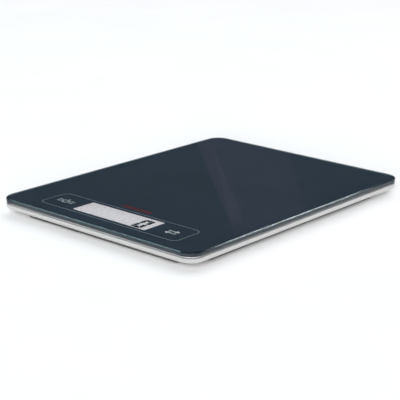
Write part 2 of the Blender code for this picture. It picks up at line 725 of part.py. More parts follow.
def load_cell(corner, side, end):
    """Steel plate with a tongue that the foot bends, fixed by its two side strips."""
    centre = (side * FOOT_X, end * FOOT_Y)
    cell = piece(f"load_cell_{corner}", [slab(CELL_X, CELL_Y, CELL_LOW, CELL_LOW + CELL_T, at=centre,
                                              corner=CELL_CORNER, steps=3)],
                 "steel", at=(*centre, CELL_LOW))
    below, above = CELL_LOW - SPARE, CELL_LOW + CELL_T + SPARE
    sides = [block((centre[0] + left, centre[1] - CELL_SLOT_END, below),
                   (centre[0] + left + CELL_SLOT_OUT - CELL_SLOT_IN, centre[1] + CELL_SLOT_END, above))
             for left in (-CELL_SLOT_OUT, CELL_SLOT_IN)]
    tool(f"tongue_sides_{corner}", sides, cell, "DIFFERENCE")
    near, far = sorted((centre[1] - end * CELL_SLOT_END, centre[1] - end * (CELL_SLOT_END - CELL_SLOT_T)))
    tip = block((centre[0] - CELL_SLOT_IN - SPARE, near, below),
                (centre[0] + CELL_SLOT_IN + SPARE, far, above))
    tool(f"tongue_tip_{corner}", [tip], cell, "DIFFERENCE")


def strain_gauge(corner, side, end):
    centre = (side * FOOT_X, end * (FOOT_Y + GAUGE_OFFSET))
    low = CELL_LOW + CELL_T + GAUGE_GLUE
    piece(f"strain_gauge_{corner}", [slab(GAUGE_X, GAUGE_Y, low, low + GAUGE_T, at=centre)], "gauge_film",
          at=(*centre, low))


# ---------------------------------------------------------------- wires and screws

def cell_wire(corner, side, end):
    """Wire from a strain gauge, under the housing's floor and up through its slot to the board."""
    start = Vector((side * (FOOT_X - GAUGE_X / 2 - WIRE_R), end * (FOOT_Y + GAUGE_OFFSET), CELL_WIRE_Z))
    if end < 0:
        lane = side * FRONT_LANE_X
        route = [start, Vector((side * 62.0, start.y, CELL_WIRE_Z)),
                 Vector((side * 47.0, -103.0, CELL_WIRE_Z)), Vector((side * 38.0, -82.0, CELL_WIRE_Z)),
                 Vector((side * 30.0, -74.0, CELL_WIRE_Z))]
    else:
        lane = side * REAR_LANE_X
        route = [start, Vector((side * 60.0, 108.0, CELL_WIRE_Z)), Vector((side * 47.0, 88.0, CELL_WIRE_Z)),
                 Vector((side * 44.0, 40.0, CELL_WIRE_Z)), Vector((side * 40.0, -20.0, CELL_WIRE_Z)),
                 Vector((side * 26.0, -56.0, CELL_WIRE_Z))]
    route += [Vector((lane, -76.0, CELL_WIRE_Z)), Vector((lane, -81.5, CELL_WIRE_Z + 0.1)),
              Vector((lane, -84.5, 7.3)), Vector((lane, -87.0, 8.6)), Vector((lane, WIRE_END_Y, WIRE_END_Z))]
    wire(f"cell_wire_{corner}", smooth_route(route), WIRE_R, "white_wire")


def battery_wire(name, side, finish_name):
    """Wire from a contact plate, out of the bay's notch and over the housing's floor to the board."""
    start_y = BAY_Y + side * BATTERY_PITCH
    leave_x = CONTACT_FACE_X + CONTACT_T + GAP
    route = [Vector((side * leave_x, start_y, 10.9)), Vector((side * 29.5, start_y, 10.6)),
             Vector((side * 32.0, start_y - 3.0, 9.4)), Vector((side * 33.0, start_y - 11.0, FLOOR_WIRE_Z)),
             Vector((side * 33.0, 5.0, FLOOR_WIRE_Z)), Vector((side * 26.0, -40.0, FLOOR_WIRE_Z)),
             Vector((side * 13.0, -72.0, FLOOR_WIRE_Z)), Vector((side * 7.0, -84.0, FLOOR_WIRE_Z + 0.1)),
             Vector((side * 7.0, WIRE_END_Y, WIRE_END_Z))]
    wire(name, smooth_route(route), WIRE_R, finish_name)


def base_screw(number, centre):
    head_top = SCREW_LOW + SCREW_HEAD_T
    profile = [(0.0, SCREW_TIP), (SCREW_SHAFT_R - SCREW_TAPER, SCREW_TIP),
               (SCREW_SHAFT_R, SCREW_TIP - SCREW_TAPER), (SCREW_SHAFT_R, head_top), (SCREW_HEAD_R, head_top),
               (SCREW_HEAD_R, SCREW_LOW + SCREW_HEAD_EDGE[1]),
               (SCREW_HEAD_R - SCREW_HEAD_EDGE[0], SCREW_LOW), (0.0, SCREW_LOW)]
    turned(f"base_screw_{number}", profile, "steel", (*centre, 0.0), steps=SCREW_STEPS)


def board_screw(number, centre):
    head_low = BOARD_HIGH + GAP
    head_top = head_low + BOARD_HEAD_T
    profile = [(0.0, head_top), (BOARD_HEAD_R - BOARD_HEAD_EDGE[0], head_top),
               (BOARD_HEAD_R, head_top - BOARD_HEAD_EDGE[1]), (BOARD_HEAD_R, head_low),
               (BOARD_SHAFT_R, head_low), (BOARD_SHAFT_R, BOARD_SCREW_TIP + BOARD_SCREW_TAPER),
               (BOARD_SHAFT_R - BOARD_SCREW_TAPER, BOARD_SCREW_TIP), (0.0, BOARD_SCREW_TIP)]
    turned(f"board_screw_{number}", profile, "steel", (*centre, 0.0), steps=SCREW_STEPS)


# ---------------------------------------------------------------- the whole scale

def axis_empty(name, at):
    """Empty on a moving piece's axis, or at the housing's own origin."""
    empty = bpy.data.objects.new(name, None)
    empty.empty_display_size = 5 * MM
    empty.location = Vector(at) * MM
    SCALE.objects.link(empty)
    return empty


for item in list(bpy.data.objects):
    bpy.data.objects.remove(item, do_unlink=True)
SCALE = collection("kitchen_scale")
CUTTERS = collection("cutters")
HOUSING_AXIS = axis_empty("housing_axis", (0.0, 0.0, 0.0))
COVER_AXIS = axis_empty("battery_cover_axis", (0.0, BAY_Y, BASE_LOW))

glass_plate()
printed_film()
bonding_tape()
upper_housing()
base_cover()
battery_cover()
batteries_and_contacts()
display()
board()
touch_pad("touch_pad_left", -1)
touch_pad("touch_pad_right", 1)
for corner_name, (corner_side, corner_end) in CORNERS.items():
    foot_at = (corner_side * FOOT_X, corner_end * FOOT_Y, 0.0)
    foot(corner_name, axis_empty(f"foot_axis_{corner_name}", foot_at))
    load_cell(corner_name, corner_side, corner_end)
    strain_gauge(corner_name, corner_side, corner_end)
    cell_wire(corner_name, corner_side, corner_end)
battery_wire("battery_wire_red", -1, "red_wire")
battery_wire("battery_wire_black", 1, "black_wire")
for screw_number, screw_centre in enumerate(BASE_SCREWS, start=1):
    base_screw(screw_number, screw_centre)
for screw_number, screw_centre in enumerate(BOARD_SCREWS, start=1):
    board_screw(screw_number, screw_centre)
bpy.context.view_layer.update()
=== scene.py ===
"""Looks of the flat glass kitchen scale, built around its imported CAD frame. Lengths are in metres."""

from math import cos, pi, radians, sin, tan

import bmesh
import bpy
from mathutils import Matrix, Vector

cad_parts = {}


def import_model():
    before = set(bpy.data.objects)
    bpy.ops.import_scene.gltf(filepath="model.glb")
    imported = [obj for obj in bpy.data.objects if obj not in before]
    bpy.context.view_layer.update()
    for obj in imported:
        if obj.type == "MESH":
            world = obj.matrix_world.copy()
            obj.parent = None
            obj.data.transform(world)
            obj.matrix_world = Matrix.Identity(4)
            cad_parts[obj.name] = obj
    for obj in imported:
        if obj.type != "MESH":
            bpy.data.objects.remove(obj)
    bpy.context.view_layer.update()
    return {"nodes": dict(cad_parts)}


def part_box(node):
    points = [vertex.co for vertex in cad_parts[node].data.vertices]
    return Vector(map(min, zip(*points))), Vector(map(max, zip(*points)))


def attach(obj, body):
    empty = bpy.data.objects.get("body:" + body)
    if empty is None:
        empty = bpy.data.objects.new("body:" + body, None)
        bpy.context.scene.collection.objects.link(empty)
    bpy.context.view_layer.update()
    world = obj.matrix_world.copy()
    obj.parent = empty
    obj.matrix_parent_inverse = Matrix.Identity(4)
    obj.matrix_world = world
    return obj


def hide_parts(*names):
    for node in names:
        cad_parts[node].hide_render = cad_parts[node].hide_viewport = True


MM = 0.001

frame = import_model()

# ---------------------------------------------------------------- sizes, from the frame

GLASS_LOW, GLASS_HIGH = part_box("glass_plate")
TRAY_LOW, TRAY_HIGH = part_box("upper_housing")
BASE_LOW, BASE_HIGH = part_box("base_cover")
COVER_LOW, COVER_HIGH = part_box("battery_cover")
LCD_LOW, LCD_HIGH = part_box("lcd_panel")
TAPE_LOW, TAPE_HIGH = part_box("bonding_tape")
CORNERS = ("front_left", "front_right", "rear_left", "rear_right")
BASE_SCREWS = [f"base_screw_{number}" for number in range(1, 7)]

CORNER_R = 13.0 * MM
CORNER_STEPS = 20        # faces round an outline's corner
TURN_STEPS = 96          # faces round a turned piece
GLASS_CHAMFER = 0.75 * MM
PRINT_INSET = 0.8 * MM
PRINT_T = 0.03 * MM
LCD_CENTRE = (LCD_LOW + LCD_HIGH) / 2
WINDOW = Vector((86.5, 25.5)) * MM
WINDOW_CENTRE = LCD_CENTRE.xy + Vector((0.0, 1.0)) * MM
WINDOW_CORNER_R = 0.8 * MM
PANEL = Vector((163.0, 34.0)) * MM
PANEL_CENTRE = LCD_CENTRE.xy + Vector((0.0, 0.8)) * MM
PANEL_CORNER_R = 6.5 * MM
PANEL_LINE_W = 0.55 * MM
KEY_X = 64.0 * MM
BASE_CUT = Vector((17.0, 24.0)) * MM
BASE_CUT_R = 4.0 * MM
LEAST_R = 0.3 * MM       # smallest corner radius of an outline
FACE_INSET = 4.0 * MM    # how far inside its edge a flat face's own polygon starts
PAST = 1.0 * MM          # how far a cutter reaches past what it cuts


def centre_of(node):
    """Middle of a CAD node's box."""
    low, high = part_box(node)
    return (low + high) / 2


# ---------------------------------------------------------------- outlines and solids

def rectangle(low, high):
    """Corner points of a box in plan, counter-clockwise."""
    return [Vector((x, y)) for x, y in ((low.x, low.y), (high.x, low.y), (high.x, high.y), (low.x, high.y))]


def around(centre, size):
    """Corners of a rectangle of a size about a point in plan."""
    return rectangle(centre - size / 2, centre + size / 2)


def cut_rectangle(low, high, cut):
    """Rectangle with its corners cut off, counter-clockwise."""
    return [Vector((low.x + cut.x, low.y)), Vector((high.x - cut.x, low.y)),
            Vector((high.x, low.y + cut.y)), Vector((high.x, high.y - cut.y)),
            Vector((high.x - cut.x, high.y)), Vector((low.x + cut.x, high.y)),
            Vector((low.x, high.y - cut.y)), Vector((low.x, low.y + cut.y))]


def inset_corners(corners, inset):
    """A convex outline's corners, moved in so that each side moves in by inset."""
    moved = []
    for index, point in enumerate(corners):
        back = (corners[index - 1] - point).normalized()
        ahead = (corners[(index + 1) % len(corners)] - point).normalized()
        half = back.angle(ahead) / 2
        moved.append(point + (back + ahead).normalized() * inset / sin(half))
    return moved


def rounded(corners, radius, steps=CORNER_STEPS):
    """Outline points of a convex polygon with arcs at its corners."""
    points = []
    for index, point in enumerate(corners):
        back = (corners[index - 1] - point).normalized()
        ahead = (corners[(index + 1) % len(corners)] - point).normalized()
        half = back.angle(ahead) / 2
        centre = point + (back + ahead).normalized() * radius / sin(half)
        start = point + back * radius / tan(half) - centre
        sweep = pi - 2 * half
        for step in range(steps + 1):
            turn = Matrix.Rotation(sweep * step / steps, 2)
            points.append(centre + turn @ start)
    return points


def arc(centre, radius, start, end, steps):
    """Profile points along an arc. Angles in degrees, from +inset towards +Z."""
    return [(centre[0] + radius * cos(radians(start + (end - start) * step / steps)),
             centre[1] + radius * sin(radians(start + (end - start) * step / steps)))
            for step in range(steps + 1)]


def softened(profile, radius):
    """Profile with each inner corner replaced by a short curve."""
    points = [Vector(point) for point in profile]
    soft = [points[0]]
    for before, corner, after in zip(points, points[1:], points[2:]):
        start = corner + (before - corner).normalized() * min(radius, (before - corner).length / 2)
        end = corner + (after - corner).normalized() * min(radius, (after - corner).length / 2)
        soft += [start, (start + corner * 2 + end) / 4, end]
    return [tuple(point) for point in soft + [points[-1]]]


def loft(corners, radius, profile):
    """Closed bmesh whose sides follow a profile of (inset, height), capped at both ends."""
    shape = bmesh.new()
    rings = []
    for inset, height in profile:
        outline = rounded(inset_corners(corners, inset), max(radius - inset, LEAST_R))
        rings.append([shape.verts.new((point.x, point.y, height)) for point in outline])
    count = len(rings[0])
    for lower, upper in zip(rings, rings[1:]):
        for index in range(count):
            after = (index + 1) % count
            shape.faces.new((lower[index], lower[after], upper[after], upper[index]))
    shape.faces.new(list(reversed(rings[0])))
    shape.faces.new(rings[-1])
    return shape


def add_box(shape, low, high):
    """Adds a box between two opposite corners."""
    made = bmesh.ops.create_cube(shape, size=1.0)["verts"]
    bmesh.ops.scale(shape, vec=Vector(high) - Vector(low), verts=made)
    bmesh.ops.translate(shape, vec=(Vector(high) + Vector(low)) / 2, verts=made)


def prism(shape, outline, low, high):
    """Adds an upright closed prism over an outline in plan."""
    lower = [shape.verts.new((point.x, point.y, low)) for point in outline]
    upper = [shape.verts.new((point.x, point.y, high)) for point in outline]
    shape.faces.new(list(reversed(lower)))
    shape.faces.new(upper)
    for index in range(len(outline)):
        after = (index + 1) % len(outline)
        shape.faces.new((lower[index], lower[after], upper[after], upper[index]))


def turned(shape, centre, profile, steps=TURN_STEPS):
    """Adds a shape of revolution from a profile of (radius, height) that starts and ends on the axis."""
    rings = []
    for radius, height in profile:
        if radius == 0.0:
            rings.append([shape.verts.new((centre.x, centre.y, height))])
            continue
        rings.append([shape.verts.new((centre.x + radius * cos(2 * pi * step / steps),
                                       centre.y + radius * sin(2 * pi * step / steps), height))
                      for step in range(steps)])
    for lower, upper in zip(rings, rings[1:]):
        for step in range(steps):
            after = (step + 1) % steps
            if len(lower) == 1:
                shape.faces.new((lower[0], upper[after], upper[step]))
            elif len(upper) == 1:
                shape.faces.new((lower[step], lower[after], upper[0]))
            else:
                shape.faces.new((lower[step], lower[after], upper[after], upper[step]))


# ---------------------------------------------------------------- objects

def linked(name, data):
    """New object in the scene."""
    thing = bpy.data.objects.new(name, data)
    bpy.context.scene.collection.objects.link(thing)
    return thing


def shown(name, shape, material, body, replaced=(), sharp=30.0, soft_normals=True):
    """Makes a bmesh a visible piece that rides on a body and stands for CAD nodes."""
    bmesh.ops.recalc_face_normals(shape, faces=shape.faces)
    mesh = bpy.data.meshes.new(name)
    shape.to_mesh(mesh)
    shape.free()
    mesh.shade_smooth()
    mesh.set_sharp_from_angle(angle=radians(sharp))
    mesh.materials.append(material)
    thing = linked(name, mesh)
    if soft_normals:
        weighted = thing.modifiers.new("normals", "WEIGHTED_NORMAL")
        weighted.keep_sharp = True
    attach(thing, body)
    if replaced:
        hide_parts(*replaced)
    return thing


def carved(shape, changes):
    """A bmesh after exact Booleans with others. changes is a list of (operation, bmesh)."""
    target = linked("carve_target", bpy.data.meshes.new("carve_target"))
    bmesh.ops.recalc_face_normals(shape, faces=shape.faces)
    shape.to_mesh(target.data)
    shape.free()
    tools = []
    for operation, tool_shape in changes:
        tool = linked("carve_tool", bpy.data.meshes.new("carve_tool"))
        bmesh.ops.recalc_face_normals(tool_shape, faces=tool_shape.faces)
        tool_shape.to_mesh(tool.data)
        tool_shape.free()
        modifier = target.modifiers.new("carve", "BOOLEAN")
        modifier.operation = operation
        modifier.solver = "EXACT"
        modifier.object = tool
        tools.append(tool)
    evaluated = target.evaluated_get(bpy.context.evaluated_depsgraph_get())
    result = bmesh.new()
    result.from_mesh(evaluated.to_mesh())
    evaluated.to_mesh_clear()
    for thing in tools + [target]:
        bpy.data.objects.remove(thing, do_unlink=True)
    return result


# ---------------------------------------------------------------- materials

NOISE_LOW = 0.3                # nearly all of a noise's values lie between these two
NOISE_HIGH = 0.7
GLASS_TINT = (0.30, 0.80, 0.86)
GLASS_DENSITY = 70.0
GLASS_IOR = 1.52
MOULD_SPREAD = 0.06            # how far moulded plastic's roughness runs to either side
METAL_SMOOTHER = 0.05
METAL_ROUGHER = 0.08
METAL_GRAIN = 900.0            # waves a metre
# painted light: the display's face glows with this emission, which stands in for the light it would get
# through the glass
DISPLAY_PAINTED_GLOW = (0.97, 0.72, 0.72)
DISPLAY_PAINTED_GLOW_STRENGTH = 0.95


def shader(name, colour, roughness, metallic=0.0, **plain):
    """New material with its Principled node, whose plain sockets are set by name."""
    material = bpy.data.materials.new(name)
    material.use_nodes = True
    node = material.node_tree.nodes["Principled BSDF"]
    node.inputs["Base Color"].default_value = (*colour, 1.0)
    node.inputs["Roughness"].default_value = roughness
    node.inputs["Metallic"].default_value = metallic
    for socket, value in plain.items():
        node.inputs[socket.replace("_", " ")].default_value = value
    return material, node


def noise(material, scale, detail=3.0, roughness=0.5, stretch=(1.0, 1.0, 1.0)):
    """Noise over the object's own coordinates, in metres, so that scale is in waves a metre."""
    nodes, links = material.node_tree.nodes, material.node_tree.links
    place = nodes.new("ShaderNodeTexCoord")
    mapping = nodes.new("ShaderNodeMapping")
    mapping.inputs["Scale"].default_value = stretch
    links.new(place.outputs["Object"], mapping.inputs["Vector"])
    texture = nodes.new("ShaderNodeTexNoise")
    texture.inputs["Scale"].default_value = scale
    texture.inputs["Detail"].default_value = detail
    texture.inputs["Roughness"].default_value = roughness
    links.new(mapping.outputs["Vector"], texture.inputs["Vector"])
    return texture.outputs["Fac"]


def ranged(material, value, low, high):
    """Value mapped from the middle of a noise's range onto low to high."""
    node = material.node_tree.nodes.new("ShaderNodeMapRange")
    node.inputs["From Min"].default_value = NOISE_LOW
    node.inputs["From Max"].default_value = NOISE_HIGH
    node.inputs["To Min"].default_value = low
    node.inputs["To Max"].default_value = high
    material.node_tree.links.new(value, node.inputs["Value"])
    return node.outputs["Result"]


def vary_colour(material, node, value, first, second):
    """Base colour that runs from first to second with a noise."""
    mix = material.node_tree.nodes.new("ShaderNodeMix")
    mix.data_type = "RGBA"
    mix.inputs["A"].default_value = (*first, 1.0)
    mix.inputs["B"].default_value = (*second, 1.0)
    material.node_tree.links.new(ranged(material, value, 0.0, 1.0), mix.inputs["Factor"])
    material.node_tree.links.new(mix.outputs["Result"], node.inputs["Base Color"])


def vary_roughness(material, node, value, low, high):
    """Roughness that runs from low to high with a noise."""
    material.node_tree.links.new(ranged(material, value, low, high), node.inputs["Roughness"])


def bump(material, node, value, height):
    """Relief of a real height in metres."""
    relief = material.node_tree.nodes.new("ShaderNodeBump")
    relief.inputs["Distance"].default_value = height
    material.node_tree.links.new(value, relief.inputs["Height"])
    material.node_tree.links.new(relief.outputs["Normal"], node.inputs["Normal"])


def glass_material(name, roughness):
    """Float glass with a blue-green body tint, which shows along its edges."""
    material, _ = shader(name, (0.97, 1.0, 1.0), roughness, Transmission_Weight=1.0, IOR=GLASS_IOR)
    absorption = material.node_tree.nodes.new("ShaderNodeVolumeAbsorption")
    absorption.inputs["Color"].default_value = (*GLASS_TINT, 1.0)
    absorption.inputs["Density"].default_value = GLASS_DENSITY
    output = material.node_tree.nodes["Material Output"]
    material.node_tree.links.new(absorption.outputs["Volume"], output.inputs["Volume"])
    return material


def print_material():
    """Slate-navy screen print, with the faint mottling of its mesh."""
    material, node = shader("slate_print", (0.067, 0.085, 0.130), 0.55)
    vary_colour(material, node, noise(material, 14.0, 2.0), (0.062, 0.080, 0.124), (0.074, 0.090, 0.138))
    vary_roughness(material, node, noise(material, 900.0), 0.5, 0.6)
    return material


def flat_print_material(name, first, second, glow=0.0):
    """Opaque screen print in one colour, slightly uneven. glow is painted light, an emission that makes up
    for light lost in the glass.
    """
    material, node = shader(name, first, 0.5, Emission_Strength=glow, Emission_Color=(*first, 1.0))
    vary_colour(material, node, noise(material, 2500.0), first, second)
    vary_roughness(material, node, noise(material, 900.0), 0.45, 0.6)
    return material


def silver_material():
    """Satin silver lacquer with fine metal flake, on moulded plastic."""
    material, node = shader("silver_lacquer", (0.60, 0.59, 0.58), 0.3, metallic=0.85)
    vary_colour(material, node, noise(material, 6000.0, 1.0), (0.575, 0.565, 0.555), (0.635, 0.625, 0.615))
    vary_roughness(material, node, noise(material, 60.0), 0.30, 0.38)
    bump(material, node, noise(material, 3500.0, 2.0), 0.004 * MM)
    return material


def moulded_material(name, dark, light, roughness, grain=1800.0, height=0.02 * MM):
    """Moulded plastic with the fine spark texture of its tool."""
    material, node = shader(name, dark, roughness)
    vary_colour(material, node, noise(material, 45.0), dark, light)
    vary_roughness(material, node, noise(material, grain / 3), roughness - MOULD_SPREAD,
                   roughness + MOULD_SPREAD)
    bump(material, node, noise(material, grain, 4.0, 0.65), height)
    return material


def rubber_material():
    """Matt black rubber with a fine grain."""
    material, node = shader("rubber", (0.030, 0.030, 0.032), 0.8)
    vary_colour(material, node, noise(material, 300.0), (0.024, 0.024, 0.026), (0.042, 0.042, 0.044))
    bump(material, node, noise(material, 2600.0, 3.0), 0.02 * MM)
    return material


def metal_material(name, dark, light, roughness, stretch=(1.0, 1.0, 1.0)):
    """Bare or plated metal. stretch draws its grain out along an axis."""
    material, node = shader(name, dark, roughness, metallic=1.0)
    vary_colour(material, node, noise(material, METAL_GRAIN, stretch=stretch), dark, light)
    vary_roughness(material, node, noise(material, METAL_GRAIN / 2, stretch=stretch),
                   roughness - METAL_SMOOTHER, roughness + METAL_ROUGHER)
    return material


def ink_material():
    """Dark, matt segments of the display."""
    material, node = shader("segment_ink", (0.004, 0.004, 0.007), 0.8, Specular_IOR_Level=0.1)
    vary_colour(material, node, noise(material, 3000.0), (0.003, 0.003, 0.006), (0.006, 0.006, 0.009))
    return material


def display_material(name, shade):
    """Pale face of the display, with a painted glow: an emission that stands in for the light it would get
    through the glass. shade darkens it where an unlit segment shows.
    """
    first = [value * shade for value in (0.66, 0.60, 0.61)]
    second = [value * shade for value in (0.72, 0.65, 0.66)]
    material, node = shader(name, first, 0.7, Specular_IOR_Level=0.1,
                            Emission_Strength=DISPLAY_PAINTED_GLOW_STRENGTH * shade,
                            Emission_Color=(*DISPLAY_PAINTED_GLOW, 1.0))
    vary_colour(material, node, noise(material, 35.0, 2.0), first, second)
    bump(material, node, noise(material, 5000.0, 1.0), 0.002 * MM)
    return material


MATERIALS = {
    "glass": glass_material("polished_glass", 0.0),
    "ground_glass": glass_material("ground_glass", 0.08),
    "print": print_material(),
    # the light outline and symbols glow with painted light, which makes up for light lost in the glass
    "lines": flat_print_material("outline_print_painted_glow", (0.84, 0.72, 0.74), (0.92, 0.80, 0.82), 0.12),
    "symbols": flat_print_material("symbol_print_painted_glow", (0.94, 0.84, 0.84), (0.97, 0.88, 0.88), 0.22),
    "accent": flat_print_material("dull_red_print", (0.40, 0.035, 0.04), (0.50, 0.045, 0.05)),
    "silver": silver_material(),
    "grey": moulded_material("grey_moulding", (0.045, 0.045, 0.046), (0.06, 0.06, 0.061), 0.5),
    "white": moulded_material("white_moulding", (0.70, 0.70, 0.68), (0.76, 0.76, 0.74), 0.45),
    "rubber": rubber_material(),
    "steel": metal_material("stamped_steel", (0.48, 0.49, 0.51), (0.62, 0.63, 0.65), 0.34,
                            stretch=(1.0, 14.0, 1.0)),
    "nickel": metal_material("nickel_plate", (0.62, 0.60, 0.56), (0.72, 0.70, 0.66), 0.22),
    "screw": metal_material("zinc_plate", (0.50, 0.50, 0.50), (0.66, 0.66, 0.65), 0.3),
    # the display's face and its unlit segments glow with painted light
    "display": display_material("display_face_painted_glow", 1.0),
    "ghost": display_material("unlit_segment_painted_glow", 0.96),
    "segment": ink_material(),
    "tape": moulded_material("foam_tape", (0.62, 0.62, 0.62), (0.70, 0.70, 0.70), 0.8, 2500.0),
    "board": moulded_material("solder_mask", (0.015, 0.14, 0.06), (0.02, 0.19, 0.08), 0.4, 1200.0),
    "chip": moulded_material("chip_epoxy", (0.015, 0.015, 0.016), (0.028, 0.028, 0.03), 0.45),
    "gauge": moulded_material("gauge_film", (0.50, 0.28, 0.06), (0.62, 0.38, 0.10), 0.35, 4000.0),
    "sleeve": moulded_material("battery_sleeve", (0.10, 0.22, 0.26), (0.14, 0.28, 0.32), 0.35, 2500.0,
                               height=0.004 * MM),
    "red": moulded_material("red_insulation", (0.42, 0.02, 0.015), (0.52, 0.03, 0.02), 0.45, 3000.0),
    "black": moulded_material("black_insulation", (0.014, 0.014, 0.014), (0.024, 0.024, 0.024), 0.45,
                              3000.0),
    "pale": moulded_material("pale_insulation", (0.66, 0.66, 0.64), (0.74, 0.74, 0.72), 0.45, 3000.0),
}


# ---------------------------------------------------------------- glass and its print

GLASS_EDGE_R = 0.1 * MM
CHAMFER_SLOPE = (0.1, 0.98)    # least and most upright share of a ground face's normal


def glass():
    """Weighing plate, with a ground chamfer along both edges."""
    profile = softened([
        (GLASS_CHAMFER + FACE_INSET, GLASS_LOW.z), (GLASS_CHAMFER, GLASS_LOW.z),
        (0.0, GLASS_LOW.z + GLASS_CHAMFER), (0.0, GLASS_HIGH.z - GLASS_CHAMFER),
        (GLASS_CHAMFER, GLASS_HIGH.z), (GLASS_CHAMFER + FACE_INSET, GLASS_HIGH.z)], GLASS_EDGE_R)
    plate = shown("glass_body", loft(rectangle(GLASS_LOW, GLASS_HIGH), CORNER_R, profile),
                  MATERIALS["glass"], "housing", ["glass_plate"], sharp=60)
    plate.data.materials.append(MATERIALS["ground_glass"])
    least, most = CHAMFER_SLOPE
    for face in plate.data.polygons:
        face.material_index = 1 if least < abs(face.normal.z) < most else 0


def flat_ring(corners, radius, width, low, high):
    """Thin closed frame of a width, its outer side on the rounded corners."""
    outer = loft(corners, radius, [(0.0, low), (0.0, high)])
    inner = loft(inset_corners(corners, width), max(radius - width, LEAST_R),
                 [(0.0, low - PAST), (0.0, high + PAST)])
    return carved(outer, [("DIFFERENCE", inner)])


def back_print():
    """Dark layer on the underside of the glass, with the display window left clear."""
    layer = loft(inset_corners(rectangle(GLASS_LOW, GLASS_HIGH), PRINT_INSET), CORNER_R - PRINT_INSET,
                 [(0.0, GLASS_LOW.z - PRINT_T), (0.0, GLASS_LOW.z + PRINT_T)])
    window = loft(around(WINDOW_CENTRE, WINDOW), WINDOW_CORNER_R,
                  [(0.0, GLASS_LOW.z - PAST), (0.0, GLASS_LOW.z + PAST)])
    shown("back_print", carved(layer, [("DIFFERENCE", window)]), MATERIALS["print"], "housing",
          ["printed_film"], soft_normals=False)


LINE_GAP = 0.01 * MM           # the light marks lie this much over the dark print
LINE_LOW = GLASS_LOW.z + PRINT_T + LINE_GAP
LINE_HIGH = LINE_LOW + PRINT_T


def printed(name, shape, material):
    """Shows a mark printed on the glass's underside."""
    shown(name, shape, MATERIALS[material], "housing", soft_normals=False)


def panel_outline():
    """Fine rounded line around the keys and the window."""
    line = flat_ring(around(PANEL_CENTRE, PANEL), PANEL_CORNER_R, PANEL_LINE_W, LINE_LOW, LINE_HIGH)
    printed("panel_outline", line, "lines")


def stroke(shape, start, end, width):
    """Straight printed stroke between two points in plan."""
    start, end = Vector(start), Vector(end)
    along = end - start
    made = bmesh.ops.create_cube(shape, size=1.0)["verts"]
    bmesh.ops.scale(shape, vec=(along.length + width, width, LINE_HIGH - LINE_LOW), verts=made)
    turn = Matrix.Rotation(-Vector((1, 0)).angle_signed(along), 3, "Z")
    bmesh.ops.rotate(shape, matrix=turn, verts=made)
    middle = (start + end) / 2
    bmesh.ops.translate(shape, vec=(middle.x, middle.y, (LINE_LOW + LINE_HIGH) / 2), verts=made)


def ring_stroke(shape, centre, radius, width, start, end, steps=24):
    """Printed stroke along an arc in plan, in degrees."""
    rows = []
    for step in range(steps + 1):
        turn = radians(start + (end - start) * step / steps)
        way = Vector((cos(turn), sin(turn)))
        inner, outer = centre + way * (radius - width / 2), centre + way * (radius + width / 2)
        rows.append([shape.verts.new((point.x, point.y, height))
                     for point, height in ((inner, LINE_LOW), (outer, LINE_LOW), (outer, LINE_HIGH),
                                           (inner, LINE_HIGH))])
    for before, after in zip(rows, rows[1:]):
        for index in range(4):
            following = (index + 1) % 4
            shape.faces.new((before[index], before[following], after[following], after[index]))
    shape.faces.new(rows[0])
    shape.faces.new(list(reversed(rows[-1])))


SYMBOL_STROKE = 1.6 * MM
POWER_RING_R = 3.4 * MM
POWER_RING_ENDS = (-235, 55)    # degrees
POWER_STEM = (1.8 * MM, 4.8 * MM)
POWER_BAR = Vector((5.8, 1.8)) * MM
POWER_BAR_LENGTH = 3.2 * MM
ARROW_HALF = 5.0 * MM
ARROW_OFF = 2.3 * MM
ARROW_WING = Vector((2.2, 1.7)) * MM
ACCENT = Vector((34.0, 5.8)) * MM
ACCENT_CENTRE = LCD_CENTRE.xy + Vector((0.0, 25.0)) * MM
ACCENT_CORNER_R = 1.2 * MM


def power_symbol():
    """Left key: the on and off symbol between two pairs of short bars."""
    shape = bmesh.new()
    centre = Vector((-KEY_X, LCD_CENTRE.y))
    ring_stroke(shape, centre, POWER_RING_R, SYMBOL_STROKE, *POWER_RING_ENDS)
    low, high = POWER_STEM
    stroke(shape, centre + Vector((0.0, low)), centre + Vector((0.0, high)), SYMBOL_STROKE)
    for side in (-1, 1):
        for row in (-1, 1):
            start = centre + Vector((side * POWER_BAR.x, row * POWER_BAR.y))
            stroke(shape, start, start + Vector((side * POWER_BAR_LENGTH, 0.0)), SYMBOL_STROKE)
    printed("key_symbol_left", shape, "symbols")


def units_symbol():
    """Right key: two arrows that swap places."""
    shape = bmesh.new()
    centre = Vector((KEY_X, LCD_CENTRE.y))
    for side in (-1, 1):
        tail = centre + Vector((-side * ARROW_HALF, side * ARROW_OFF))
        tip = centre + Vector((side * ARROW_HALF, side * ARROW_OFF))
        stroke(shape, tail, tip, SYMBOL_STROKE)
        for wing in (-1, 1):
            stroke(shape, tip, tip + Vector((-side * ARROW_WING.x, wing * ARROW_WING.y)), SYMBOL_STROKE)
    printed("key_symbol_right", shape, "symbols")


def accent_bar():
    """Plain dull-red bar behind the display."""
    printed("accent_bar", loft(around(ACCENT_CENTRE, ACCENT), ACCENT_CORNER_R,
                               [(0.0, LINE_LOW), (0.0, LINE_HIGH)]), "accent")


# ---------------------------------------------------------------- display

DIGIT_X = 30.0 * MM
DIGIT_PITCH = 16.4 * MM
DIGIT_HALF = Vector((3.7, 8.4)) * MM    # from the digit's centre to the middle of its outer segments
DIGIT_Y = LCD_CENTRE.y + 0.7 * MM
SEGMENT_W = 3.9 * MM

# Points at a segment's end, as (along it, across it towards the digit's outside) in half widths.
CORNER_END = ((-0.4, 1.0), (-0.68, 0.8), (1.12, -1.0))
BLUNT_END = ((0.42, 1.0), (0.26, 0.0), (0.42, -1.0))

